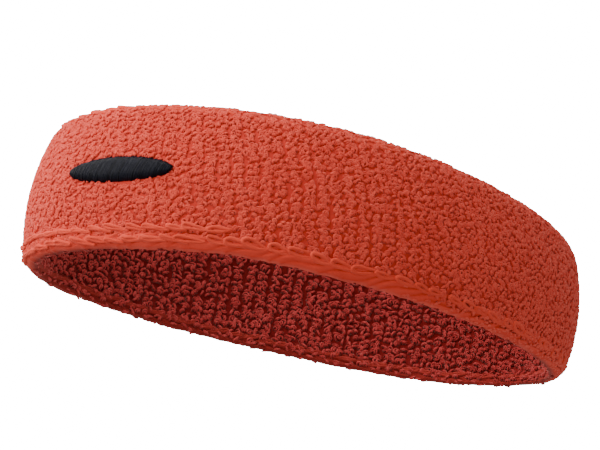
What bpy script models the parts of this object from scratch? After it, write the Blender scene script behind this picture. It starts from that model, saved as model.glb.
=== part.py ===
"""Terry sports headband, opened to the oval in which it is worn, standing on its lower edge.

The band is a terry knit doubled over: an outer and an inner face, joined along both edges by a smooth
rolled fold, with covered elastic hoops laid in between the faces. Chain stitches run beside the folds, a
linking thread closes the inside, and a plain oval badge is embroidered on the outer face.

Units are metres and +Z is up. The origin is in the middle of the opening, level with the lower edge. Every
piece follows one oval outline, at its own distance inside or outside it.
"""

import math

import bmesh
import bpy
import numpy as np

# The oval that the band's edges follow, seen from above
HALF_LENGTH = 0.102
HALF_DEPTH = 0.061
FULLER_LEFT = 0.10  # the oval is this much deeper at -X, and this much shallower at +X
LONGER_BACK = 0.14  # and this much longer along +Y, and shorter along -Y
STATIONS = 56  # facets round the oval
FINE_STEPS = 4000  # samples used to space the stations evenly

# The band's section
BAND_HEIGHT = 0.050
BULGE = 0.004  # how far mid-height swells beyond the edges
FACE = 0.0020  # thickness of one terry face, loops included
GAP = 0.0003  # clearance between neighbouring pieces
BACKING = 0.0003  # thickness of the stabiliser, and of the bobbin thread
HOOP_RADIUS = 0.0004
BADGE = 0.0009  # height of the embroidery

# The folds and the stitching beside them
ROUNDED_HEIGHT = 0.006  # the band thins out over this height at each edge
ROUNDED_DEPTH = 0.0023  # and by this much on each side, right at the edge
FOLD_HEIGHT = 0.0024
FOLD_FLOOR = 0.0012  # thickness of the fold at the very edge
FOLD_HOLLOW = (0.0022, 0.0018)  # depths of the hollow's sides, at its floor and at the fold's free rim
STITCH_HALF_HEIGHT = 0.0009
STITCH_HALF_DEPTH = 0.0006

# The elastic
HOOP_COUNT = 6
HOOP_MARGIN = 0.0080  # height of the lowest hoop, and depth of the highest below the upper edge

# The badge, a plain oval on the outer face at the -X, -Y part of the band
BADGE_PLACE = 0.594  # how far round the oval its middle is, counted from +X through +Y
BADGE_WIDTH = 0.038
BADGE_HEIGHT = 0.0085
BADGE_MIDDLE = 0.0245
BACKING_MARGIN = 0.003
BADGE_SIDES = 28

# Depths below the outer surface, worked out from the pieces between
BACKING_TOP = FACE + GAP
BOBBIN_TOP = BACKING_TOP + BACKING + GAP
HOOP_TOP = BOBBIN_TOP + BACKING + GAP
INNER_FACE_TOP = HOOP_TOP + 2 * HOOP_RADIUS + GAP
THICKNESS = INNER_FACE_TOP + FACE

STITCH_MIDDLE = FOLD_HEIGHT + GAP + STITCH_HALF_HEIGHT
STITCHED_EDGE = STITCH_MIDDLE + STITCH_HALF_HEIGHT + GAP  # where a terry face starts beside stitches
PLAIN_EDGE = FOLD_HEIGHT + GAP  # where it starts beside a bare fold

# Mesh settings
FACE_STEPS = 5  # facets up a terry face
THREAD_SIDES = 6
SHARP_ANGLE = 50.0
MERGE_DISTANCE = 0.00001

# Finishes: a linear colour and a roughness
OUTER_TERRY = ((0.62, 0.075, 0.035), 0.95)
INNER_TERRY = ((0.50, 0.050, 0.028), 0.95)
EDGE_KNIT = ((0.70, 0.105, 0.050), 0.90)
STITCH_YARN = ((0.66, 0.090, 0.042), 0.85)
ELASTIC_YARN = ((0.80, 0.78, 0.74), 0.60)
BADGE_THREAD = ((0.010, 0.011, 0.026), 0.45)
STABILISER = ((0.86, 0.86, 0.84), 0.90)


def clear_scene():
    for item in list(bpy.data.objects):
        bpy.data.objects.remove(item, do_unlink=True)


def make_material(name, finish):
    color, roughness = finish
    material = bpy.data.materials.new(name)
    material.use_nodes = True
    shader = material.node_tree.nodes["Principled BSDF"]
    shader.inputs["Base Color"].default_value = (*color, 1.0)
    shader.inputs["Roughness"].default_value = roughness
    shader.inputs["Metallic"].default_value = 0.0
    return material


def oval_point(angle):
    """A point on the oval that the edges follow, before it is centred on the origin."""
    across = math.sin(angle) * (1.0 - FULLER_LEFT * math.cos(angle))
    along = math.cos(angle) * (1.0 + LONGER_BACK * across)
    return np.array((HALF_LENGTH * along, HALF_DEPTH * across))


class Outline:
    """The oval as a closed path, read by the share of its length: 0 at +X, growing through +Y."""

    def __init__(self):
        angles = np.linspace(0.0, 2.0 * math.pi, FINE_STEPS + 1)
        points = np.array([oval_point(angle) for angle in angles])
        middle = 0.5 * (points.min(axis=0) + points.max(axis=0))
        self.points = points - middle
        steps = np.linalg.norm(np.diff(self.points, axis=0), axis=1)
        along = np.concatenate(([0.0], np.cumsum(steps)))
        self.length = along[-1]
        self.shares = along / self.length
        tangents = np.roll(self.points[:-1], -1, axis=0) - np.roll(self.points[:-1], 1, axis=0)
        normals = np.stack((tangents[:, 1], -tangents[:, 0]), axis=1)
        normals /= np.linalg.norm(normals, axis=1)[:, None]
        self.normals = np.vstack((normals, normals[:1]))

    def at(self, share, outward):
        """The point at a share of the way round, moved outward from the oval."""
        share = share % 1.0
        point = [np.interp(share, self.shares, self.points[:, axis]) for axis in (0, 1)]
        normal = [np.interp(share, self.shares, self.normals[:, axis]) for axis in (0, 1)]
        return (point[0] + outward * normal[0], point[1] + outward * normal[1])


OUTLINE = Outline()


def swell(height):
    """How far the band's wall stands outside the oval at a height."""
    off_middle = 2.0 * height / BAND_HEIGHT - 1.0
    return BULGE * (1.0 - off_middle * off_middle)


def rounding(height):
    """How far the band's surface has drawn back where it thins out towards an edge."""
    from_edge = min(height, BAND_HEIGHT - height)
    share = max(0.0, 1.0 - from_edge / ROUNDED_HEIGHT)
    return ROUNDED_DEPTH * (1.0 - math.sqrt(1.0 - share * share))


def add_object(name, mesh_data, material):
    bmesh.ops.recalc_face_normals(mesh_data, faces=mesh_data.faces)
    mesh = bpy.data.meshes.new(name)
    mesh_data.to_mesh(mesh)
    mesh_data.free()
    mesh.materials.append(material)
    mesh.shade_smooth()
    mesh.set_sharp_from_angle(angle=math.radians(SHARP_ANGLE))
    item = bpy.data.objects.new(name, mesh)
    bpy.context.scene.collection.objects.link(item)
    return item


def add_ring(name, section, material):
    """Sweep a closed section once round the oval. Its points are (depth below the outer surface, height)."""
    mesh_data = bmesh.new()
    loops = []
    for station in range(STATIONS):
        loop = []
        for depth, height in section:
            x, y = OUTLINE.at(station / STATIONS, swell(height) - depth)
            loop.append(mesh_data.verts.new((x, y, height)))
        loops.append(loop)
    count = len(section)
    for station, loop in enumerate(loops):
        following = loops[(station + 1) % STATIONS]
        for index in range(count):
            after = (index + 1) % count
            mesh_data.faces.new((loop[index], loop[after], following[after], following[index]))
    return add_object(name, mesh_data, material)


def face_section(low, high):
    """The outer terry face: a strip that follows the wall's swell and thins towards the edges."""
    heights = [low + (high - low) * step / FACE_STEPS for step in range(FACE_STEPS + 1)]
    outside = [(rounding(height), height) for height in heights]
    inside = [(FACE, height) for height in reversed(heights)]
    return outside + inside


def turned_inside(section):
    """The same section on the head's side of the band."""
    return [(THICKNESS - depth, height) for depth, height in section]


def fold_section():
    """The lower fold: a flat-bottomed U that joins the two faces and stays open to the space between them."""
    rounded = [(rounding(FOLD_HEIGHT * share), FOLD_HEIGHT * share) for share in (1.0, 0.6, 0.3, 0.1, 0.0)]
    outer = rounded + list(reversed(turned_inside(rounded)))
    floor_depth, rim_depth = FOLD_HOLLOW
    hollow = [(rim_depth, FOLD_HEIGHT), (floor_depth, FOLD_FLOOR)]
    return outer + turned_inside(hollow) + list(reversed(hollow))


def oval_section(depth, height, half_depth, half_height):
    """The section of a thread or a yarn."""
    points = []
    for side in range(THREAD_SIDES):
        angle = 2.0 * math.pi * side / THREAD_SIDES
        points.append((depth + half_depth * math.cos(angle), height + half_height * math.sin(angle)))
    return points


def mirrored(section):
    """The same section at the upper edge."""
    return [(depth, BAND_HEIGHT - height) for depth, height in section]


def add_faces(outer_material, inner_material):
    outer = face_section(STITCHED_EDGE, BAND_HEIGHT - STITCHED_EDGE)
    add_ring("outer_terry_face", outer, outer_material)
    inner = turned_inside(face_section(STITCHED_EDGE, BAND_HEIGHT - PLAIN_EDGE))
    add_ring("inner_terry_face", inner, inner_material)


def add_folds(material):
    add_ring("lower_edge_fold", fold_section(), material)
    add_ring("upper_edge_fold", mirrored(fold_section()), material)


def add_stitching(material):
    depth = rounding(STITCH_MIDDLE) + STITCH_HALF_DEPTH
    outside = oval_section(depth, STITCH_MIDDLE, STITCH_HALF_DEPTH, STITCH_HALF_HEIGHT)
    add_ring("lower_edge_stitching", outside, material)
    add_ring("upper_edge_stitching", mirrored(outside), material)
    add_ring("closing_seam_thread", turned_inside(outside), material)


def add_elastic(material):
    spread = BAND_HEIGHT - 2.0 * HOOP_MARGIN
    depth = HOOP_TOP + HOOP_RADIUS
    for number in range(HOOP_COUNT):
        height = HOOP_MARGIN + spread * number / (HOOP_COUNT - 1)
        section = oval_section(depth, height, HOOP_RADIUS, HOOP_RADIUS)
        add_ring(f"elastic_hoop_{number + 1}", section, material)


def oval_patch():
    """The badge's outline, as (distance round the band, height) from its middle."""
    points = []
    for side in range(BADGE_SIDES):
        angle = 2.0 * math.pi * side / BADGE_SIDES
        points.append((0.5 * BADGE_WIDTH * math.cos(angle), 0.5 * BADGE_HEIGHT * math.sin(angle)))
    return points


def rectangle_patch():
    """The stabiliser's outline, with enough points to bend round the band."""
    half_width = 0.5 * BADGE_WIDTH + BACKING_MARGIN
    half_height = 0.5 * BADGE_HEIGHT + BACKING_MARGIN
    steps = 6
    across = [half_width * (2.0 * step / steps - 1.0) for step in range(steps + 1)]
    lower = [(x, -half_height) for x in across]
    upper = [(x, half_height) for x in reversed(across)]
    return lower + upper


def add_patch(name, outline, depth, thickness, material):
    """A thin sheet wrapped on the band: depth is its outer side's depth below the outer surface."""
    mesh_data = bmesh.new()

    def wrapped(across, up, below):
        height = BADGE_MIDDLE + up
        share = BADGE_PLACE + across / OUTLINE.length
        x, y = OUTLINE.at(share, swell(height) - below)
        return mesh_data.verts.new((x, y, height))

    sides = []
    for below in (depth, depth + thickness):
        rim = [wrapped(across, up, below) for across, up in outline]
        spine = [wrapped(across, 0.0, below) for across, _ in outline]
        sides.append((rim, spine))
    count = len(outline)
    for rim, spine in sides:
        for index in range(count):
            after = (index + 1) % count
            mesh_data.faces.new((rim[index], rim[after], spine[after], spine[index]))
    for index in range(count):
        after = (index + 1) % count
        mesh_data.faces.new((sides[0][0][index], sides[0][0][after], sides[1][0][after], sides[1][0][index]))
    bmesh.ops.remove_doubles(mesh_data, verts=mesh_data.verts, dist=MERGE_DISTANCE)
    return add_object(name, mesh_data, material)


def add_badge(thread_material, backing_material):
    add_patch("embroidered_badge", oval_patch(), -GAP - BADGE, BADGE, thread_material)
    add_patch("badge_backing", rectangle_patch(), BACKING_TOP, BACKING, backing_material)
    add_patch("badge_bobbin_thread", oval_patch(), BOBBIN_TOP, BACKING, thread_material)


def main():
    clear_scene()
    add_faces(make_material("outer_terry", OUTER_TERRY), make_material("inner_terry", INNER_TERRY))
    add_folds(make_material("edge_knit", EDGE_KNIT))
    add_stitching(make_material("stitch_yarn", STITCH_YARN))
    add_elastic(make_material("elastic_yarn", ELASTIC_YARN))
    add_badge(make_material("badge_thread", BADGE_THREAD), make_material("stabiliser", STABILISER))


main()
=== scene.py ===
"""Looks of the terry sports headband: every yarn that shows, the embroidery, the light and the camera.

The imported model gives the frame. Each knitted piece is built again here from its yarns, on the same oval
outline and the same section as the solid that it replaces. Units are metres and +Z is up. A place on the band
is given by its share of the way round, its height, and its depth inward from the outer surface.
"""

import math
from dataclasses import dataclass

import bpy
import numpy as np
from mathutils import Matrix, Vector


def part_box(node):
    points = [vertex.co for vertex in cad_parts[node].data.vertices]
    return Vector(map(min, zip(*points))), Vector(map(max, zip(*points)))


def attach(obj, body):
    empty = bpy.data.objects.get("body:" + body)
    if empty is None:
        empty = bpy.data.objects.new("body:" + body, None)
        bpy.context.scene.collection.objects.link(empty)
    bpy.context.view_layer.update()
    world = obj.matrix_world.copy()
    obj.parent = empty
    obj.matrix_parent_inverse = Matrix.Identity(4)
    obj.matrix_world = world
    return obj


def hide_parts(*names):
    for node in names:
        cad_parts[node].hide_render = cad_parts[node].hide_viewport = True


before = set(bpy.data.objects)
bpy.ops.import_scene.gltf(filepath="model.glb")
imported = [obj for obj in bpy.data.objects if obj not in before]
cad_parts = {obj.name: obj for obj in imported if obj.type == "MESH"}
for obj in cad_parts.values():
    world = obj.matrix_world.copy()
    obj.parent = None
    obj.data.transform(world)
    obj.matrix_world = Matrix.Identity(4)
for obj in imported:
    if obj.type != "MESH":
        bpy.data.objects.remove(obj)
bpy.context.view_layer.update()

BODY = "root"
TURN = 2.0 * math.pi

# The oval that the band's edges follow, seen from above, as in the solids
HALF_LENGTH = 0.102
HALF_DEPTH = 0.061
FULLER_LEFT = 0.10
LONGER_BACK = 0.14
FINE_STEPS = 4000

# The band's section, as in the solids: it swells at mid-height and draws back where it thins to an edge
BAND_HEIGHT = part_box("upper_edge_fold")[1][2]
BULGE = 0.004
THICKNESS = 0.0066
ROUNDED_HEIGHT = 0.006
ROUNDED_DEPTH = 0.0023
STEEPEST_ROUNDING = 0.95
TERRY_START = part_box("outer_terry_face")[0][2]
STITCH_HEIGHT = 0.5 * (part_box("lower_edge_stitching")[0][2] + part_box("lower_edge_stitching")[1][2])

# Where the limp lower edge leaves the level: share of the way round, spread, and lift
HANGS = (
    (0.03, 0.05, 0.0012),
    (0.15, 0.05, -0.0005),
    (0.47, 0.05, -0.0006),
    (0.57, 0.045, -0.0007),
    (0.675, 0.035, 0.0007),
)
HANG_FADE = 1.5

# Where the knit and the stitches of the lower edge change, and over how much of the way round they do
COVER_START, COVER_GROWTH = 0.775, 0.05
COVER_END, COVER_FADE = 1.0, 0.02
LEFT_START, LEFT_GROWTH = 0.44, 0.06
LOWERED_END, LOWERED_FADE = 0.70, 0.11
LIGHTER_END, LIGHTER_FADE = 0.74, 0.12
ROUNDER_START, ROUNDER_GROWTH = 0.62, 0.05
LOWERED_BY = 0.0022

rng = np.random.default_rng(7)


def grows(value, start, span):
    """0 up to the start, 1 from a span after it, and straight between them."""
    return np.clip((value - start) / span, 0.0, 1.0)


def fades(value, end, span):
    """1 up to a span before the end, 0 after it, and straight between them."""
    return np.clip((end - value) / span, 0.0, 1.0)


# ------------------------------------------------------------------------------------ the outline

def oval_points(angle):
    """The oval, fuller at one end and longer at the back than an ellipse."""
    across = np.sin(angle) * (1.0 - FULLER_LEFT * np.cos(angle))
    along = np.cos(angle) * (1.0 + LONGER_BACK * across)
    return np.stack((HALF_LENGTH * along, HALF_DEPTH * across), axis=-1)


class Outline:
    """The oval as a closed path, read by the share of its length: 0 at +X, growing through +Y."""

    def __init__(self):
        points = oval_points(np.linspace(0.0, TURN, FINE_STEPS + 1))
        self.points = points - 0.5 * (points.min(axis=0) + points.max(axis=0))
        steps = np.linalg.norm(np.diff(self.points, axis=0), axis=1)
        along = np.concatenate(([0.0], np.cumsum(steps)))
        self.length = along[-1]
        self.shares = along / self.length
        tangents = np.roll(self.points[:-1], -1, axis=0) - np.roll(self.points[:-1], 1, axis=0)
        normals = np.stack((tangents[:, 1], -tangents[:, 0]), axis=1)
        normals /= np.linalg.norm(normals, axis=1)[:, None]
        self.normals = np.vstack((normals, normals[:1]))

    def read(self, share, table):
        """The table's value at each share of the way round."""
        share = np.mod(share, 1.0)
        return np.stack([np.interp(share, self.shares, table[:, axis]) for axis in (0, 1)], axis=-1)


OUTLINE = Outline()


def swell(height):
    """How far the band's surface stands out at this height."""
    off_middle = 2.0 * height / BAND_HEIGHT - 1.0
    return BULGE * (1.0 - off_middle * off_middle)


def swell_slope(height):
    """How fast the swell changes with height."""
    return -4.0 * BULGE / BAND_HEIGHT * (2.0 * height / BAND_HEIGHT - 1.0)


def edge_distance(height):
    """How far a height is from the nearer edge."""
    return np.minimum(height, BAND_HEIGHT - height)


def rounding(height):
    """How far the band's surface draws back where it thins out towards an edge."""
    share = np.clip(1.0 - edge_distance(height) / ROUNDED_HEIGHT, 0.0, 1.0)
    return ROUNDED_DEPTH * (1.0 - np.sqrt(1.0 - share * share))


def rounding_slope(height):
    """How fast the rounding changes with height."""
    share = np.clip(1.0 - edge_distance(height) / ROUNDED_HEIGHT, 0.0, STEEPEST_ROUNDING)
    side = np.where(height < 0.5 * BAND_HEIGHT, -1.0, 1.0)
    return side * ROUNDED_DEPTH / ROUNDED_HEIGHT * share / np.sqrt(1.0 - share * share)


def hang(share):
    """How far the limp lower edge stands above the level, or hangs below it, round the band."""
    total = 0.0
    for place, spread, lift in HANGS:
        away = np.mod(share - place + 0.5, 1.0) - 0.5
        total = total + lift * np.exp(-(away / spread) ** 2)
    return total


def wall_points(share, height, depth):
    """Points inside the band's wall, from arrays of shares of the way round, heights and depths."""
    share, height, depth = np.broadcast_arrays(share, height, depth)
    flat = OUTLINE.read(share, OUTLINE.points)
    normal = OUTLINE.read(share, OUTLINE.normals)
    flat = flat + (swell(height) - depth)[..., None] * normal
    level = height + hang(share) * np.clip(1.0 - height / BAND_HEIGHT, 0.0, 1.0) ** HANG_FADE
    return np.concatenate((flat, level[..., None]), axis=-1)


def wall_axes(share, height, inside):
    """Unit vectors along the band, up its wall and out of its surface, on the outer or the inner side."""
    normal = OUTLINE.read(share, OUTLINE.normals)
    zero = np.zeros(len(normal))
    height = np.broadcast_to(height, zero.shape)
    bend = rounding_slope(height) if inside else -rounding_slope(height)
    slope = (swell_slope(height) + bend)[:, None]
    along = np.stack((-normal[:, 1], normal[:, 0], zero), axis=-1)
    level = np.stack((normal[:, 0], normal[:, 1], zero), axis=-1)
    upright = np.array((0.0, 0.0, 1.0))
    up = upright + level * slope
    up /= np.linalg.norm(up, axis=1)[:, None]
    out = level - upright * slope
    out /= np.linalg.norm(out, axis=1)[:, None]
    if inside:
        return -along, up, -out
    return along, up, out


def covered_roll(share):
    """How far the terry hides the lower roll: only along the +X end of the front, where it is full."""
    return grows(share, COVER_START, COVER_GROWTH) * fades(share, COVER_END, COVER_FADE)


def lowered(share):
    """How much nearer to the lower edge the terry and its stitches run than on the rest of the band."""
    return LOWERED_BY * fades(share, LOWERED_END, LOWERED_FADE) * grows(share, LEFT_START, LEFT_GROWTH)


# ------------------------------------------------------------------------------------ mesh making

def add_piece(name, node, points, faces, material, attributes, places=None):
    """A mesh object that stands for the node, from flat arrays.

    The faces are the corners' point numbers and each face's first corner. The places are where each corner
    lies on a texture.
    """
    corners, starts = faces
    mesh = bpy.data.meshes.new(name)
    mesh.vertices.add(len(points))
    mesh.vertices.foreach_set("co", np.ascontiguousarray(points, dtype=np.float32).ravel())
    mesh.loops.add(len(corners))
    mesh.loops.foreach_set("vertex_index", np.ascontiguousarray(corners, dtype=np.int32))
    mesh.polygons.add(len(starts))
    mesh.polygons.foreach_set("loop_start", np.ascontiguousarray(starts, dtype=np.int32))
    mesh.update(calc_edges=True)
    for key, values in attributes.items():
        layer = mesh.attributes.new(key, "FLOAT", "POINT")
        layer.data.foreach_set("value", np.ascontiguousarray(values, dtype=np.float32).ravel())
    if places is not None:
        unrolled = mesh.uv_layers.new(name="OFBake")
        unrolled.data.foreach_set("uv", np.ascontiguousarray(places, dtype=np.float32).ravel())
    mesh.shade_smooth()
    mesh.materials.append(material)
    item = bpy.data.objects.new(name, mesh)
    bpy.context.scene.collection.objects.link(item)
    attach(item, BODY)
    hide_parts(node)
    return item


def tube_faces(tubes, rings, sides):
    """Corner and start arrays for closed tubes with flat ends, their points numbered tube, ring, side."""
    ring = np.arange(rings - 1)[:, None]
    side = np.arange(sides)[None, :]
    after = (side + 1) % sides
    near, far = ring * sides, (ring + 1) * sides
    quads = np.stack((near + side, near + after, far + after, far + side), axis=-1).reshape(-1)
    first_cap = np.arange(sides)[::-1]
    last_cap = (rings - 1) * sides + np.arange(sides)
    one = np.concatenate((quads, first_cap, last_cap))
    sizes = np.concatenate((np.full(len(quads) // 4, 4), (sides, sides)))
    one_starts = np.concatenate(([0], np.cumsum(sizes)[:-1]))
    corners = (one[None, :] + (np.arange(tubes) * rings * sides)[:, None]).reshape(-1)
    starts = (one_starts[None, :] + (np.arange(tubes) * len(one))[:, None]).reshape(-1)
    return corners, starts


def tube_places(tubes, rings, sides):
    """Where each corner from tube_faces lies on a texture: every tube is unrolled in a cell of its own.

    The wall fills the lower part of the cell, and the two ends lie above it, side by side.
    """
    wall_part, end_radius, end_middle, first_end, last_end, margin = 0.85, 0.05, 0.93, 0.2, 0.7, 0.04
    ring = np.arange(rings - 1)[:, None] + np.zeros((1, sides))
    side = np.arange(sides)[None, :] + np.zeros((rings - 1, 1))
    u = np.stack((side, side + 1, side + 1, side), axis=-1).reshape(-1) / sides
    v = wall_part * np.stack((ring, ring, ring + 1, ring + 1), axis=-1).reshape(-1) / (rings - 1)
    turn = TURN * np.arange(sides) / sides
    end_u = end_radius * np.cos(turn)
    end_v = end_middle + end_radius * np.sin(turn)
    u = np.concatenate((u, first_end + end_u, last_end + end_u))
    v = np.concatenate((v, end_v, end_v))
    columns = math.ceil(math.sqrt(tubes))
    cell = np.arange(tubes)[:, None]
    u = (cell % columns + margin + (1.0 - 2.0 * margin) * u[None, :]) / columns
    v = (cell // columns + margin + (1.0 - 2.0 * margin) * v[None, :]) / columns
    return np.stack((u, v), axis=-1).reshape(-1, 2)


def ring_faces(stations, count):
    """Corner and start arrays for a section swept once round the oval, points numbered station, index."""
    station = np.arange(stations)[:, None]
    index = np.arange(count)[None, :]
    after = (index + 1) % count
    here, following = station * count, (station + 1) % stations * count
    quads = np.stack((here + index, here + after, following + after, following + index), axis=-1).reshape(-1)
    return quads, np.arange(0, len(quads), 4)


def ring_places(stations, count):
    """Where each corner from ring_faces lies on a texture: the way round by the way along the section."""
    station = np.arange(stations)[:, None] + np.zeros((1, count))
    index = np.arange(count)[None, :] + np.zeros((stations, 1))
    u = np.stack((station, station, station + 1, station + 1), axis=-1).reshape(-1) / stations
    v = np.stack((index, index + 1, index + 1, index), axis=-1).reshape(-1) / count
    return np.stack((u, v), axis=-1)


def add_yarns(name, node, points, sizes, material, attributes):
    """A piece of closed tubes. The sizes are how many tubes it has, and each one's rings and sides."""
    faces, places = tube_faces(*sizes), tube_places(*sizes)
    return add_piece(name, node, points.reshape(-1, 3), faces, material, attributes, places)


def add_ring(name, node, points, material, attributes):
    """A piece swept once round the oval, from points by station and index."""
    sizes = points.shape[:2]
    faces, places = ring_faces(*sizes), ring_places(*sizes)
    return add_piece(name, node, points.reshape(-1, 3), faces, material, attributes, places)


def turned(x, y, angle):
    """The pair x, y turned by the angle."""
    return x * np.cos(angle) - y * np.sin(angle), x * np.sin(angle) + y * np.cos(angle)


def placed(base, axes, x, y, z):
    """Paths whose points lie x, y and z along the three axes from each base point."""
    along, up, out = (axis[:, None, :] for axis in axes)
    return base[:, None, :] + x[..., None] * along + y[..., None] * up + z[..., None] * out


def yarn_points(paths, plane, radius, sides, ply=0.20, ply_turns=1.6):
    """Points of a two-ply yarn round each path.

    The paths are by tube and ring, and each plane is a vector roughly across its path's own plane. The ply is
    how far the yarn's section leaves a circle, and the ply turns are the half turns that it twists through.
    """
    tubes, rings, _ = paths.shape
    tangents = np.gradient(paths, axis=1)
    tangents /= np.linalg.norm(tangents, axis=2)[..., None]
    plane = np.broadcast_to(plane[:, None, :], paths.shape)
    across = np.cross(tangents, plane)
    across /= np.linalg.norm(across, axis=2)[..., None]
    over = np.cross(across, tangents)
    angle = (TURN * np.arange(sides) / sides)[None, None, :]
    progress = np.linspace(0.0, 1.0, rings)[None, :, None]
    start = rng.uniform(0.0, TURN, (tubes, 1, 1))
    twist = 1.0 + ply * np.cos(2.0 * (angle - start - TURN * ply_turns * 0.5 * progress))
    reach = radius[..., None] * twist
    points = (
        paths[:, :, None, :]
        + (reach * np.cos(angle))[..., None] * across[:, :, None, :]
        + (reach * np.sin(angle))[..., None] * over[:, :, None, :]
    )
    return points.reshape(tubes, rings * sides, 3)


# ------------------------------------------------------------------------------------ materials

def new_material(name):
    """A material of one Principled shader: itself, its nodes, its links and that shader."""
    material = bpy.data.materials.new(name)
    material.use_nodes = True
    nodes = material.node_tree.nodes
    nodes.clear()
    output = nodes.new("ShaderNodeOutputMaterial")
    shader = nodes.new("ShaderNodeBsdfPrincipled")
    material.node_tree.links.new(shader.outputs["BSDF"], output.inputs["Surface"])
    return material, nodes, material.node_tree.links, shader


def attribute_node(nodes, name):
    """The value that the mesh carries under this name."""
    attribute = nodes.new("ShaderNodeAttribute")
    attribute.attribute_name = name
    return attribute.outputs["Fac"]


def noise_node(nodes, links, scale, detail=3.0, roughness=0.55):
    """Noise over the object's own coordinates."""
    texture = nodes.new("ShaderNodeTexNoise")
    texture.inputs["Scale"].default_value = scale
    texture.inputs["Detail"].default_value = detail
    texture.inputs["Roughness"].default_value = roughness
    coordinates = nodes.new("ShaderNodeTexCoord")
    links.new(coordinates.outputs["Object"], texture.inputs["Vector"])
    return texture.outputs["Fac"]


def ramp_node(nodes, links, source, stops):
    """A colour ramp over the source, from stops of a place and a colour."""
    ramp = nodes.new("ShaderNodeValToRGB")
    while len(ramp.color_ramp.elements) < len(stops):
        ramp.color_ramp.elements.new(0.5)
    for element, (place, color) in zip(ramp.color_ramp.elements, stops):
        element.position = place
        element.color = (*color, 1.0)
    links.new(source, ramp.inputs["Fac"])
    return ramp.outputs["Color"]


def mix_color(nodes, links, factor, first, second):
    """A mix of two colours by the factor. Each of the three is a socket or a plain value."""
    mix = nodes.new("ShaderNodeMix")
    mix.data_type = "RGBA"
    for socket, value in ((mix.inputs[0], factor), (mix.inputs[6], first), (mix.inputs[7], second)):
        if isinstance(value, bpy.types.NodeSocket):
            links.new(value, socket)
        else:
            socket.default_value = value
    return mix.outputs[2]


def add_fibres(nodes, links, shader, noise, strength, distance):
    """Bump from the noise, for the fibres of a yarn."""
    bump = nodes.new("ShaderNodeBump")
    bump.inputs["Strength"].default_value = strength
    bump.inputs["Distance"].default_value = distance
    links.new(noise, bump.inputs["Height"])
    links.new(bump.outputs["Normal"], shader.inputs["Normal"])


def terry_material(name, base, top, deep, sheen=0.15):
    """Cotton yarn: its colour drifts from loop to loop by the tint, and is painted dark by the rise, as
    painted shade towards its foot; its fibres fuzz it.
    """
    material, nodes, links, shader = new_material(name)
    by_loop = ramp_node(nodes, links, attribute_node(nodes, "tint"), ((0.0, base), (1.0, top)))
    patches = noise_node(nodes, links, 90.0, 4.0, 0.6)
    patched = mix_color(nodes, links, patches, by_loop, (*base, 1.0))
    # Where the rise is low, the deep colour is mixed in: painted shade
    with_painted_shade = mix_color(nodes, links, attribute_node(nodes, "rise"), (*deep, 1.0), patched)
    links.new(with_painted_shade, shader.inputs["Base Color"])
    shader.inputs["Roughness"].default_value = 0.95
    shader.inputs["Specular IOR Level"].default_value = 0.15
    shader.inputs["Sheen Weight"].default_value = sheen
    shader.inputs["Sheen Roughness"].default_value = 0.45
    shader.inputs["Sheen Tint"].default_value = (1.0, 0.62, 0.50, 1.0)
    fibres = noise_node(nodes, links, 3200.0, 3.0, 0.7)
    add_fibres(nodes, links, shader, fibres, 0.6, 0.00025)
    return material


# ------------------------------------------------------------------------------------ the terry

LOOP_RINGS = 8
LOOP_SIDES = 6
LOOP_FOOT = math.radians(50.0)
LOOP_FLOP = 1.2
LOOPS_PER_PIECE = 1000
EDGE_LOOPS = 0.0004
TURNED_OVER = 0.0014
WALE_LEAN = 0.026

# Near an edge, loops flop over less far, and near an open edge they stand out less: within this height of
# it, and down to this share of their size. The lower edge isn't open on the inside
SHORT_LOOPS, SHORTEST = 0.003, 0.25
LOW_LOOPS, LOWEST = 0.005, 0.45
LOW_LOOPS_SINK = 0.0002
FLATTER_LEFT = 0.45

# Painted light and shade in the loops' colour: near an edge, loops are painted brighter, as painted light.
# Inside, they are painted darker towards +X, and darker still at its tip, as painted shade
PAINTED_LIGHT_REACH, PAINTED_EDGE_LIGHT = 0.006, 0.5
INNER_PAINTED_SHADE = 0.35
TIP_PLACE, TIP_SPREAD, TIP_PAINTED_SHADE = 0.03, 0.07, 0.45

# The outer loops stop this far below the start of the terry, unevenly, and this far from the badge
TERRY_OVERHANG = 0.0003
TERRY_UNEVEN = 0.0005
BADGE_MARGIN = 0.0002

GROUND_STATIONS = 984
GROUND_STEPS = 28
GROUND_THICKNESS = 0.0003
GROUND_TINT = 0.3


@dataclass(frozen=True)
class Pile:
    """How the loops of one face stand. Lengths are in metres."""

    inside: bool    # on the face that lies against the head
    slot: str       # the record's material slot
    wales: int      # columns of loops round the band
    across: int     # loops side by side in a wale
    courses: int    # rows of loops from edge to edge
    gap: float      # the widest groove between two wales, as a share of a wale
    ribbed: float   # where round the band the grooves are widest
    width: float    # how wide a loop is
    reach: float    # how far it flops over along the face
    rise: float     # how far it stands out of the face
    radius: float   # of its yarn
    strands: int    # how many strands it has, one inside the other
    turn: float     # the most that it turns from upright, in degrees
    top: float      # how deep the loops' tops lie under the band's surface
    ground: float   # how deep the knit that carries them lies


FRONT = Pile(
    inside=False, slot="outer_terry", wales=123, across=4, courses=23, gap=0.32, ribbed=0.69, width=0.0015,
    reach=0.0014, rise=0.00042, radius=0.00032, strands=2, turn=65.0, top=0.0003, ground=0.00070,
)
BACK = Pile(
    inside=True, slot="inner_terry", wales=100, across=2, courses=21, gap=0.30, ribbed=0.24, width=0.0023,
    reach=0.0017, rise=0.0010, radius=0.00036, strands=2, turn=75.0, top=0.0004, ground=0.0013,
)


def calmed(pile, height):
    """How much of its rise a loop keeps at this height: less near an open edge."""
    open_side = BAND_HEIGHT - height if pile.inside else edge_distance(height)
    return np.clip(open_side / LOW_LOOPS, LOWEST, 1.0)


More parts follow.
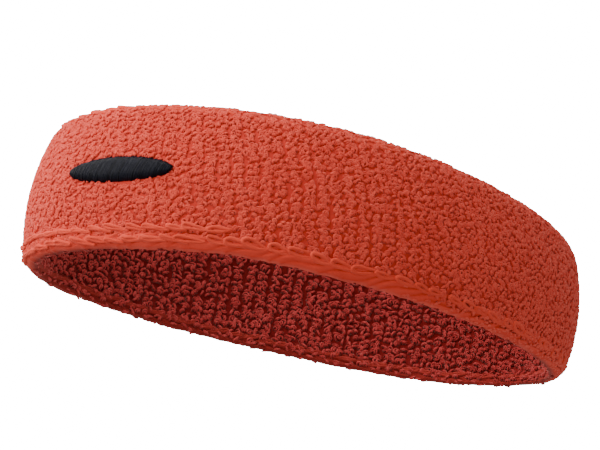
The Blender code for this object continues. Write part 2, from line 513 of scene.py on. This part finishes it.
def loop_feet(pile, share, height, over):
    """Where the loops stand, and the axes along, up and out of the face there."""
    calm = calmed(pile, height)
    depth = rounding(height) + pile.top + pile.rise * calm + LOW_LOOPS_SINK * (1.0 - calm) + over
    base = wall_points(share, height, THICKNESS - depth if pile.inside else depth)
    return base, wall_axes(share, height, pile.inside)


def loop_tones_and_painted_light(pile, share, height):
    """How bright each loop's yarn is: a tone that differs at random, painted light near the edges, and on the
    inside painted shade towards +X.
    """
    shade = rng.normal(0.45, 0.18, (len(share), 1))
    shade = shade + PAINTED_EDGE_LIGHT * np.clip(1.0 - edge_distance(height)[:, None] / PAINTED_LIGHT_REACH, 0.0, 1.0)
    if pile.inside:
        shade = shade - 0.05 - INNER_PAINTED_SHADE * np.cos(TURN * share)[:, None]
    return shade


def loop_rises_from_painted_shade(pile, share, progress):
    """How far each ring of a loop stands out of the painted shade at its foot: less on the inside, near +X,
    where the whole loop is painted darker as shade.
    """
    from_tip = np.mod(share + (0.5 - TIP_PLACE), 1.0) - 0.5
    tip_painted_shade = TIP_PAINTED_SHADE * np.exp(-(from_tip / TIP_SPREAD) ** 2) if pile.inside else 0.0 * share
    return progress ** 0.6 * np.tile(1.0 - tip_painted_shade, pile.strands)[:, None]


def terry_loops(pile, share, height):
    """Points, tints and rises of one pile loop at each share and height.

    A loop is of a few strands, one inside the other. It rises, flops over and hides its own eye. One that
    belongs below the edge stands at the edge, deeper in the wall.
    """
    each = (len(share), 1)
    over = np.maximum(EDGE_LOOPS - height, 0.0)
    height = np.maximum(height, EDGE_LOOPS)
    angle = np.linspace(math.pi + LOOP_FOOT, -LOOP_FOOT, LOOP_RINGS)[None, :]
    progress = (np.sin(angle) + math.sin(LOOP_FOOT)) / (1.0 + math.sin(LOOP_FOOT))
    near_edge = np.clip(edge_distance(height)[:, None] / SHORT_LOOPS, SHORTEST, 1.0)
    calm = calmed(pile, height)[:, None]
    flatter = 0.0 if pile.inside else FLATTER_LEFT * np.clip(-np.cos(TURN * share), 0.0, 1.0)[:, None]
    most_turn = math.radians(pile.turn)
    width = pile.width * rng.uniform(0.8, 1.2, each)
    reach = pile.reach * near_edge * rng.normal(0.8, 0.4, each)
    lift = pile.rise * calm * (1.0 - flatter) * rng.uniform(0.75, 1.2, each)
    tilt = rng.uniform(-0.22, 0.22, each)
    turn = near_edge * rng.uniform(-most_turn, most_turn, each)
    shade = loop_tones_and_painted_light(pile, share, height)
    base, axes = loop_feet(pile, share, height, over)
    paths, thick, tints = [], [], []
    for strand in range(pile.strands):
        nested = strand / pile.strands
        x = 0.5 * width * (1.0 - 1.05 * nested) * np.cos(angle) + rng.normal(0.0, 0.08, each) * pile.width
        y = reach * ((1.0 - 0.8 * nested) * progress - 0.45) + rng.normal(0.0, 0.05, each) * pile.width
        z = lift * (1.0 + 0.18 * nested) * np.sin(0.5 * math.pi * LOOP_FLOP * progress ** 0.75)
        z = z + tilt * x * progress + rng.normal(0.0, 0.05, each) * pile.rise
        x, y = turned(x, y, turn + rng.normal(0.0, 0.2, each))
        paths.append(placed(base, axes, x, y, z))
        thick.append(pile.radius * rng.uniform(0.85, 1.15, each) * (0.85 + 0.15 * np.sqrt(progress)))
        tints.append(np.clip(shade + rng.normal(0.0, 0.08, each), 0.0, 1.0))
    out = np.tile(axes[2], (pile.strands, 1))
    points = yarn_points(np.concatenate(paths), out, np.concatenate(thick), LOOP_SIDES)
    tint = np.repeat(np.concatenate(tints), LOOP_RINGS * LOOP_SIDES, axis=1)
    return points, tint, np.repeat(loop_rises_from_painted_shade(pile, share, progress), LOOP_SIDES, axis=1)


def terry_grid(pile):
    """Places of the loops, wale by wale: shares and heights, a little uneven as in a knit.

    The lowest rows are kept only where the pile creeps over the lower edge.
    """
    low, high = EDGE_LOOPS - TURNED_OVER, BAND_HEIGHT - EDGE_LOOPS
    course = (high - low) / pile.courses
    pitch = 1.0 / pile.wales
    counts = np.arange(pile.wales), np.arange(pile.courses), np.arange(pile.across)
    wale, row, place = (index.ravel() for index in np.meshgrid(*counts, indexing="ij"))
    side = (place + 0.5) / pile.across - 0.5
    turns = wale / pile.wales
    sway = 0.10 * np.sin(TURN * (row / 19.0 + 5.0 * turns)) + 0.06 * np.sin(TURN * (row / 7.0 + 11.0 * turns))
    gap = pile.gap * (0.25 + 0.75 * np.exp(-((turns - pile.ribbed) / 0.09) ** 2))
    share = pitch * (wale + 0.5 + side * (1.0 - gap) + sway + rng.normal(0.0, 0.06, len(wale)))
    start = rng.uniform(-0.5, 0.5, pile.wales)[wale]
    height = low + course * (row + 0.5 + start + 0.5 * (place % 2) + rng.normal(0.0, 0.17, len(wale)))
    lean = 0.0 if pile.inside else WALE_LEAN * (height / BAND_HEIGHT - 0.5)
    share, height = np.mod(share - lean, 1.0), np.clip(height, low, high)
    inner_creep = np.clip(5.0 * np.sin(TURN * share) + 0.8, 0.0, 1.0)
    creep = inner_creep if pile.inside else covered_roll(share)
    kept = height > EDGE_LOOPS - TURNED_OVER * creep
    return share[kept], height[kept]


def leave_bare(share, height):
    """The outer loops without those over the lower roll, where it shows, and those under the badge."""
    start = TERRY_START - TERRY_OVERHANG - lowered(share)
    on_roll = height < start + TERRY_UNEVEN * rng.normal(0.0, 1.0, len(height))
    bare = on_roll & (covered_roll(share) < rng.uniform(0.0, 1.0, len(share)))
    kept = (in_badge(share, height, BADGE_MARGIN) > 1.0) & ~bare
    return share[kept], height[kept]


def add_terry(name, node, pile, material):
    """All the loops of one face, cut into pieces that follow one another round the band."""
    share, height = terry_grid(pile)
    if not pile.inside:
        share, height = leave_bare(share, height)
    order = np.argsort(share, kind="stable")
    pieces = math.ceil(len(share) / LOOPS_PER_PIECE)
    for number, chosen in enumerate(np.array_split(order, pieces)):
        points, tint, rise_from_painted_shade = terry_loops(pile, share[chosen], height[chosen])
        sizes = len(points), LOOP_RINGS, LOOP_SIDES
        values = {"tint": tint, "rise": rise_from_painted_shade}
        add_yarns(f"{name}_{number + 1}", node, points, sizes, material, values)


def add_ground(name, node, pile, material):
    """The knit that carries the loops: a thin closed sheet, seen only between them."""
    low = EDGE_LOOPS if pile.inside else TERRY_START
    high = BAND_HEIGHT - EDGE_LOOPS
    heights = np.linspace(low, high, GROUND_STEPS)
    section = np.concatenate((heights, heights[::-1]))
    sunk = pile.ground + rounding(heights)
    depths = np.concatenate((sunk, sunk[::-1] + GROUND_THICKNESS))
    if pile.inside:
        section, depths = section[::-1], THICKNESS - depths[::-1]
    share = np.arange(GROUND_STATIONS) / GROUND_STATIONS
    points = wall_points(share[:, None], section[None, :], depths[None, :])
    plain = np.zeros(points.shape[:2])
    # A rise of 0 paints the whole ground in the deep colour, as painted shade between the loops
    values = {"tint": plain + GROUND_TINT, "rise": plain}
    piece = add_ring(name, node, points, material, values)


# ------------------------------------------------------------------------------------ the edges

ROLL_STATIONS = 1400
ROLL_STEPS = 17
ROLL_THICKNESS = 0.0007
ROLL_STRANDS = 66
ROLL_RIM = TERRY_START + 0.0006
ROLL_LEAST_DEPTH = 0.0004
STRAND_SLANT = 0.0021
STRAND_RELIEF = 0.00075
DRIFT_RELIEF = 0.00010

# How deep the roll lies under the terry and under the stitches, from which height and over how much
UNDER_TERRY, UNDER_TERRY_START = 0.0008, 0.0006
UNDER_CHAIN, UNDER_CHAIN_START = 0.0003, 0.0030
UNDER_GROWTH = 0.0012

# The depth at which the roll has turned in out of the light, and how much that varies round the band
TURNED_IN, TURNED_IN_VARIES, TURNED_IN_FADE = 0.0040, 0.0014, 0.0008

CHAIN_RINGS = 22
CHAIN_SIDES = 8
CHAIN_WIDTH = 0.0016
CHAIN_RADIUS = 0.00062
CHAIN_SINK = 0.00050
STITCHES = 76
UPPER_SUNK = 0.0007
SEAM_SUNK = 0.0003

# The faint second row of stitches, above the first at the -X end of the front
SECOND_STITCHES = 15
SECOND_SPAN = (0.475, 0.672)
SECOND_RAISED = 0.0034
SECOND_SUNK = -0.0002


def roll_section():
    """Heights and depths across an edge roll: from its outer rim, down round the edge, to its inner rim."""
    height = ROLL_RIM * (1.0 - np.linspace(0.0, 1.0, ROLL_STEPS)) ** 1.6
    depth = np.maximum(rounding(height), ROLL_LEAST_DEPTH)
    return np.concatenate((height, height[::-1])), np.concatenate((depth, THICKNESS - depth[::-1]))


def roll_strands(share, height):
    """How high the slanting strands of the roll stand, from 0 between two of them to 1."""
    slow = 0.35 * np.sin(TURN * 13.0 * share) + 0.25 * np.sin(TURN * (31.0 * share + 0.3))
    phase = ROLL_STRANDS * share + slow - height / STRAND_SLANT
    return np.abs(np.sin(0.5 * TURN * phase)) ** 0.7


def roll_points(share, height, depth, strand, upper):
    """The roll's surface, in relief, and its back, one thickness further into the wall."""
    outside = (np.arange(len(depth)) < len(depth) // 2)[None, :]
    sign = np.where(outside, 1.0, -1.0)
    drift = np.sin(TURN * 17.0 * share + 2.0) * np.sin(TURN * 7.0 * share + height / 0.0010)
    lump = STRAND_RELIEF * (strand - 0.8) + DRIFT_RELIEF * drift
    edge = np.exp(-(height / 0.0007) ** 2)
    hidden = np.where(outside & (not upper), covered_roll(share), 1.0)
    under_terry = grows(height, UNDER_TERRY_START, UNDER_GROWTH) * hidden * UNDER_TERRY
    under_chain = grows(height, UNDER_CHAIN_START, UNDER_GROWTH) * UNDER_CHAIN
    sunk = np.maximum(under_terry, under_chain)
    outer_depth = depth[None, :] - sign * (lump * (1.0 - edge) - sunk)
    outer_height = height + 0.00020 + lump * edge * 0.5
    inner_depth = depth[None, :] + sign * (ROLL_THICKNESS + sunk)
    inner_height = np.maximum(height, ROLL_THICKNESS + 0.0003)
    depths = np.concatenate((outer_depth, inner_depth[:, ::-1]), axis=1)
    heights = np.concatenate((outer_height, inner_height[:, ::-1]), axis=1)
    if upper:
        depths, heights = depths[:, ::-1], BAND_HEIGHT - heights[:, ::-1]
    return wall_points(share, heights, depths)


def add_roll(name, node, material, upper):
    """The plain knit that turns the fabric round at an edge, in slanting strands like those of a rope."""
    height, depth = roll_section()
    share = (np.arange(ROLL_STATIONS) / ROLL_STATIONS)[:, None]
    height = np.broadcast_to(height[None, :], (ROLL_STATIONS, len(height)))
    strand = roll_strands(share, height)
    points = roll_points(share, height, depth, strand, upper)
    # The tint is painted darker between the strands, as painted shade in the grooves, and is lighter round
    # the -X end and the front's -X half
    lighter = 0.45 * fades(share, LIGHTER_END, LIGHTER_FADE) * grows(share, LEFT_START, LEFT_GROWTH)
    tint = np.clip(1.1 * strand - 0.2 + lighter, 0.0, 1.0)
    turned_in = TURNED_IN - TURNED_IN_VARIES * np.clip(2.0 * np.sin(TURN * share) + 0.5, -1.0, 1.0)
    rise = fades(depth[None, :], turned_in, TURNED_IN_FADE)
    values = {
        "tint": np.concatenate((tint, tint[:, ::-1]), axis=1),
        "rise": np.concatenate((rise, rise[:, ::-1]), axis=1),
    }
    piece = add_ring(name, node, points, material, values)


def add_chain(name, node, material, stitches, upper, inside, sunk, span=(0.0, 1.0), raised=0.0):
    """A row of chain stitches: each a teardrop of yarn whose pointed tail lies under the next one's head.

    Along the front, from just past the badge to the +X end, they are rounder than elsewhere.
    """
    each = (stitches, 1)
    share = (np.arange(stitches) + 0.5 + rng.normal(0.0, 0.12, stitches)) / stitches
    share = span[0] + (span[1] - span[0]) * share
    pitch = OUTLINE.length * (span[1] - span[0]) / stitches
    height = STITCH_HEIGHT + raised - lowered(share) + rng.normal(0.0, 0.00018, stitches)
    turn = TURN * np.linspace(0.02, 0.98, CHAIN_RINGS)[None, :]
    length = pitch * rng.uniform(0.95, 1.5, each)
    rounder = grows(share, ROUNDER_START, ROUNDER_GROWTH)[:, None]
    width = CHAIN_WIDTH * (rng.uniform(0.2, 0.7, each) + rounder * rng.uniform(0.3, 1.0, each))
    x = 0.5 * length * np.cos(turn)
    y = 0.78 * width * np.sin(turn) * np.sin(0.5 * turn) ** 1.5
    x, y = turned(x, y, rng.normal(-0.11, 0.08, each))
    z = 0.00020 - 0.00050 * (x / length + 0.5) + rng.normal(0.0, 0.00006, each)
    if upper:
        height = BAND_HEIGHT - height
    along, up, out = wall_axes(share, height, inside)
    if inside:
        along = -along
    depth = rounding(STITCH_HEIGHT + raised) + CHAIN_SINK + sunk
    base = wall_points(share, height, THICKNESS - depth if inside else depth)
    paths = placed(base, (along, up, out), x, y, z)
    thick = CHAIN_RADIUS * rng.uniform(0.85, 1.15, each) * (0.72 + 0.28 * np.sin(0.5 * turn) ** 0.5)
    points = yarn_points(paths, out, thick, CHAIN_SIDES, ply=0.18, ply_turns=4.0)
    tint = np.repeat(np.clip(rng.normal(0.6, 0.2, each), 0.0, 1.0), CHAIN_RINGS * CHAIN_SIDES, axis=1)
    # On the inside the stitches take the deep colour all over, as painted shade; outside they take none
    values = {"tint": tint, "rise": np.full(tint.shape, 0.0 if inside else 1.0)}
    add_yarns(name, node, points, (stitches, CHAIN_RINGS, CHAIN_SIDES), material, values)


# ------------------------------------------------------------------------------------ the badge

BADGE_PLACE = 0.594
BADGE_WIDTH = 0.038
BADGE_HEIGHT = 0.0085
BADGE_MIDDLE = 0.0245
BADGE_CROWN = 0.0009

THREADS = 150
THREAD_RINGS = 14
THREAD_SIDES = 8
THREAD_RADIUS = 0.00021
THREAD_SLANT = 0.0016
SHORTEST_THREAD = 0.0006

PAD_RINGS = 8
PAD_SIDES = 72
PAD_BOTTOM = 0.0012


def in_badge(share, height, margin):
    """How far a place lies outside the badge's outline: under 1 is inside it."""
    across = (share - BADGE_PLACE) * OUTLINE.length / (0.5 * BADGE_WIDTH + margin)
    above = (height - BADGE_MIDDLE) / (0.5 * BADGE_HEIGHT + margin)
    return across ** 2 + above ** 2


def badge_material():
    """Rayon thread: dark navy with a soft gloss along it."""
    material, nodes, links, shader = new_material("badge_thread")
    stops = ((0.0, (0.0015, 0.0015, 0.004)), (1.0, (0.006, 0.006, 0.013)))
    links.new(ramp_node(nodes, links, attribute_node(nodes, "tint"), stops), shader.inputs["Base Color"])
    shader.inputs["Roughness"].default_value = 0.5
    shader.inputs["Specular IOR Level"].default_value = 0.12
    add_fibres(nodes, links, shader, noise_node(nodes, links, 5200.0, 2.0, 0.6), 0.35, 0.0001)
    return material


def add_badge_threads(material):
    """Satin stitches side by side across the oval, over a pad of the same thread."""
    each = (THREADS, 1)
    place = np.linspace(-0.985, 0.985, THREADS)
    half = 0.5 * BADGE_HEIGHT * np.sqrt(1.0 - place ** 2) + rng.normal(0.0, 0.00012, THREADS)
    half = np.maximum(half, SHORTEST_THREAD)
    progress = np.linspace(-1.0, 1.0, THREAD_RINGS)[None, :]
    up = half[:, None] * progress
    across = 0.5 * BADGE_WIDTH * place[:, None] + THREAD_SLANT * up / (0.5 * BADGE_HEIGHT)
    across = across + rng.normal(0.0, 0.00003, each)
    fullness = np.minimum(1.0, half[:, None] / (0.35 * BADGE_HEIGHT))
    end = np.abs(progress)
    crown = (BADGE_CROWN * fullness + 0.0002) * (1.0 - end ** 3.0) - 0.0007 * end ** 6.0
    crown = crown + rng.normal(0.0, 0.00003, each)
    share = BADGE_PLACE + across / OUTLINE.length
    paths = wall_points(share, BADGE_MIDDLE + up, -crown)
    along, _, _ = wall_axes(share[:, THREAD_RINGS // 2], np.full(THREADS, BADGE_MIDDLE), False)
    radius = np.full((THREADS, THREAD_RINGS), THREAD_RADIUS) * rng.uniform(0.9, 1.1, each)
    points = yarn_points(paths, along, radius, THREAD_SIDES, ply=0.10, ply_turns=10.0)
    tint = np.repeat(rng.uniform(0.0, 1.0, each), THREAD_RINGS * THREAD_SIDES, axis=1)
    sizes = THREADS, THREAD_RINGS, THREAD_SIDES
    add_yarns(
        "badge_satin_stitches", "embroidered_badge", points, sizes, material, {"tint": tint},
    )


def add_badge_pad(material):
    """The underlay that the satin stitches cover: a crowned oval disc with a flat bottom."""
    angle = (TURN * np.arange(PAD_SIDES) / PAD_SIDES)[None, :]
    reach = np.linspace(0.0, 1.0, PAD_RINGS)[1:, None]
    across = 0.49 * BADGE_WIDTH * reach * np.cos(angle)
    above = BADGE_MIDDLE + 0.48 * BADGE_HEIGHT * reach * np.sin(angle)
    lift = BADGE_CROWN * (1.0 - reach ** 3) - 0.0005 * reach ** 3 + 0.0 * angle
    share = BADGE_PLACE + across / OUTLINE.length
    top = wall_points(share, above, -lift)
    bottom = wall_points(share, above, np.full(lift.shape, PAD_BOTTOM))
    middle = wall_points(
        np.full(2, BADGE_PLACE), np.full(2, BADGE_MIDDLE), np.array([-BADGE_CROWN, PAD_BOTTOM]),
    )
    points = np.concatenate((middle, top.reshape(-1, 3), bottom.reshape(-1, 3)))
    layer = (PAD_RINGS - 1) * PAD_SIDES
    rim = 2 + (PAD_RINGS - 2) * PAD_SIDES
    faces = []
    for side in range(PAD_SIDES):
        after = (side + 1) % PAD_SIDES
        faces.append((0, 2 + side, 2 + after))
        faces.append((1, 2 + layer + after, 2 + layer + side))
        for ring in range(PAD_RINGS - 2):
            a, b = 2 + ring * PAD_SIDES, 2 + (ring + 1) * PAD_SIDES
            faces.append((a + side, b + side, b + after, a + after))
            faces.append((layer + a + side, layer + a + after, layer + b + after, layer + b + side))
        faces.append((rim + side, layer + rim + side, layer + rim + after, rim + after))
    corners = np.array([point for face in faces for point in face])
    starts = np.concatenate(([0], np.cumsum([len(face) for face in faces])[:-1]))
    values = {"tint": np.full(len(points), 0.3)}
    faces = corners, starts
    add_piece("badge_underlay", "embroidered_badge", points, faces, material, values)


# ------------------------------------------------------------------------------------ hidden pieces

ELASTIC_HOOPS = 6


def elastic_material():
    """Elastic covered with a fine spiral of pale yarn."""
    material, nodes, links, shader = new_material("elastic_yarn")
    wraps = nodes.new("ShaderNodeTexWave")
    wraps.inputs["Scale"].default_value = 900.0
    wraps.inputs["Distortion"].default_value = 1.5
    coordinates = nodes.new("ShaderNodeTexCoord")
    links.new(coordinates.outputs["Object"], wraps.inputs["Vector"])
    stops = ((0.0, (0.62, 0.60, 0.56)), (1.0, (0.84, 0.82, 0.78)))
    links.new(ramp_node(nodes, links, wraps.outputs["Fac"], stops), shader.inputs["Base Color"])
    shader.inputs["Roughness"].default_value = 0.6
    return material


def mottled_material(name, scale, dark, light, roughness):
    """A plain material whose colour wavers between two shades."""
    material, nodes, links, shader = new_material(name)
    stops = ((0.3, dark), (0.7, light))
    links.new(ramp_node(nodes, links, noise_node(nodes, links, scale), stops), shader.inputs["Base Color"])
    shader.inputs["Roughness"].default_value = roughness
    return material


def dress_hidden_pieces():
    """The solids that stay: covered elastic, stabiliser and bobbin thread, between the two faces."""
    elastic = elastic_material()
    looks = {f"elastic_hoop_{number + 1}": elastic for number in range(ELASTIC_HOOPS)}
    looks["badge_backing"] = mottled_material(
        "stabiliser", 900.0, (0.74, 0.74, 0.72), (0.88, 0.88, 0.86), 0.9,
    )
    looks["badge_bobbin_thread"] = mottled_material(
        "bobbin_thread", 1500.0, (0.008, 0.008, 0.02), (0.02, 0.02, 0.04), 0.5,
    )
    for node, material in looks.items():
        bpy.data.objects[node].material_slots[0].material = material


# ------------------------------------------------------------------------------------ light, camera, floor

CAMERA_PLACE = (-0.11255, -0.39385, -0.10967)
CAMERA_TARGET = (0.0002, 0.0, 0.025)
CAMERA_ROLL = 0.1672
BACKDROP = 30.0
FLOOR_LEVEL = -0.0010
FLOOR_HALF = 8.0
FLOOR_GLOW = 0.40


def add_camera():
    """The camera, a little below the band, in front of its -X end, and rolled."""
    data = bpy.data.cameras.new("camera")
    data.lens = 70.0
    data.sensor_width = 36.0
    data.shift_x = -0.0358
    data.shift_y = 0.0556
    data.clip_start = 0.01
    place = Vector(CAMERA_PLACE)
    ahead = (Vector(CAMERA_TARGET) - place).normalized()
    right = ahead.cross(Vector((0.0, 0.0, 1.0))).normalized()
    up = right.cross(ahead)
    tilted_right = right * math.cos(CAMERA_ROLL) + up * math.sin(CAMERA_ROLL)
    tilted_up = up * math.cos(CAMERA_ROLL) - right * math.sin(CAMERA_ROLL)
    camera = bpy.data.objects.new("camera", data)
    rotation = Matrix((tilted_right, tilted_up, -ahead)).transposed()
    camera.matrix_world = Matrix.Translation(place) @ rotation.to_4x4()
    bpy.context.scene.collection.objects.link(camera)
    bpy.context.scene.camera = camera


def add_light(name, azimuth, elevation, distance, size, power):
    """An area lamp that faces the band. Azimuth 0 is in front, at -Y, and 90 is at +X."""
    a, e = math.radians(azimuth), math.radians(elevation)
    place = Vector((math.sin(a) * math.cos(e), -math.cos(a) * math.cos(e), math.sin(e))) * distance
    data = bpy.data.lights.new(name, "AREA")
    data.size = size
    data.energy = power
    item = bpy.data.objects.new(name, data)
    item.location = place
    item.rotation_mode = "QUATERNION"
    item.rotation_quaternion = (-place).to_track_quat("-Z", "Y")
    item.visible_camera = False
    bpy.context.scene.collection.objects.link(item)


def add_world(ambient, lean):
    """Even light from all round, a little stronger from +X, behind a white backdrop."""
    world = bpy.data.worlds.new("studio")
    world.use_nodes = True
    nodes, links = world.node_tree.nodes, world.node_tree.links
    nodes.clear()
    output = nodes.new("ShaderNodeOutputWorld")
    soft = nodes.new("ShaderNodeBackground")
    direction = nodes.new("ShaderNodeTexCoord")
    split = nodes.new("ShaderNodeSeparateXYZ")
    links.new(direction.outputs["Generated"], split.inputs["Vector"])
    strength = nodes.new("ShaderNodeMath")
    strength.operation = "MULTIPLY_ADD"
    strength.inputs[1].default_value = ambient * lean
    strength.inputs[2].default_value = ambient
    links.new(split.outputs["X"], strength.inputs[0])
    links.new(strength.outputs["Value"], soft.inputs["Strength"])
    white = nodes.new("ShaderNodeBackground")
    white.inputs["Strength"].default_value = BACKDROP
    seen = nodes.new("ShaderNodeLightPath")
    mix = nodes.new("ShaderNodeMixShader")
    links.new(seen.outputs["Is Camera Ray"], mix.inputs["Fac"])
    links.new(soft.outputs["Background"], mix.inputs[1])
    links.new(white.outputs["Background"], mix.inputs[2])
    links.new(mix.outputs["Shader"], output.inputs["Surface"])
    bpy.context.scene.world = world


def floor_material():
    """Pale and faintly glowing seen from above, and clear seen from below."""
    material, nodes, links, shader = new_material("floor")
    shader.inputs["Base Color"].default_value = (0.45, 0.45, 0.45, 1.0)
    shader.inputs["Roughness"].default_value = 0.8
    shader.inputs["Emission Color"].default_value = (1.0, 1.0, 1.0, 1.0)
    shader.inputs["Emission Strength"].default_value = FLOOR_GLOW
    clear = nodes.new("ShaderNodeBsdfTransparent")
    geometry = nodes.new("ShaderNodeNewGeometry")
    mix = nodes.new("ShaderNodeMixShader")
    links.new(geometry.outputs["Backfacing"], mix.inputs["Fac"])
    links.new(shader.outputs["BSDF"], mix.inputs[1])
    links.new(clear.outputs["BSDF"], mix.inputs[2])
    output = next(node for node in nodes if node.type == "OUTPUT_MATERIAL")
    links.new(mix.outputs["Shader"], output.inputs["Surface"])
    return material


def add_floor():
    """A pale floor. It throws no light or shadow on the band, and the camera can look up through it."""
    half = FLOOR_HALF
    mesh = bpy.data.meshes.new("floor")
    corners = [(-half, -half, 0.0), (half, -half, 0.0), (half, half, 0.0), (-half, half, 0.0)]
    mesh.from_pydata(corners, [], [(0, 1, 2, 3)])
    mesh.materials.append(floor_material())
    floor = bpy.data.objects.new("floor", mesh)
    floor.location.z = FLOOR_LEVEL
    floor.visible_diffuse = False
    floor.visible_glossy = False
    floor.visible_shadow = False
    bpy.context.scene.collection.objects.link(floor)


# ------------------------------------------------------------------------------------ the whole

def add_faces():
    """The two terry faces: the knit that carries the loops, and the loops."""
    outer = terry_material(
        "outer_terry", (0.72, 0.055, 0.033), (0.95, 0.126, 0.080), (0.60, 0.038, 0.023), sheen=0.3,
    )
    # The inside is the same yarn as the outside, given darker colours: painted shade for the inside of the
    # band
    inner = terry_material(
        "inner_terry", (0.46, 0.037, 0.036), (0.88, 0.104, 0.098), (0.20, 0.006, 0.006), sheen=0.4,
    )
    add_ground("outer_terry_ground", "outer_terry_face", FRONT, outer)
    add_ground("inner_terry_ground", "inner_terry_face", BACK, inner)
    add_terry("outer_terry_loops", "outer_terry_face", FRONT, outer)
    add_terry("inner_terry_loops", "inner_terry_face", BACK, inner)


def add_edges():
    """The two rolls, and the rows of chain stitches."""
    edge = terry_material("edge_knit", (0.64, 0.040, 0.021), (0.88, 0.082, 0.047), (0.28, 0.020, 0.015))
    stitch = terry_material("stitch_yarn", (0.72, 0.058, 0.030), (0.82, 0.080, 0.044), (0.36, 0.030, 0.022))
    add_roll("lower_edge_roll", "lower_edge_fold", edge, False)
    add_roll("upper_edge_roll", "upper_edge_fold", edge, True)
    add_chain("lower_edge_chain", "lower_edge_stitching", stitch, STITCHES, False, False, 0.0)
    add_chain(
        "lower_edge_second_row", "lower_edge_stitching", stitch, SECOND_STITCHES, False, False, SECOND_SUNK,
        span=SECOND_SPAN, raised=SECOND_RAISED,
    )
    add_chain("upper_edge_chain", "upper_edge_stitching", stitch, STITCHES, True, False, UPPER_SUNK)
    add_chain("closing_seam_chain", "closing_seam_thread", stitch, STITCHES, False, True, SEAM_SUNK)


def add_badge():
    """The embroidery."""
    thread = badge_material()
    add_badge_threads(thread)
    add_badge_pad(thread)


add_faces()
add_edges()
add_badge()
dress_hidden_pieces()
add_camera()
add_light("key", azimuth=-88.0, elevation=34.0, distance=0.9, size=1.5, power=30.0)
add_world(ambient=0.72, lean=0.18)
add_floor()
bpy.context.view_layer.update()
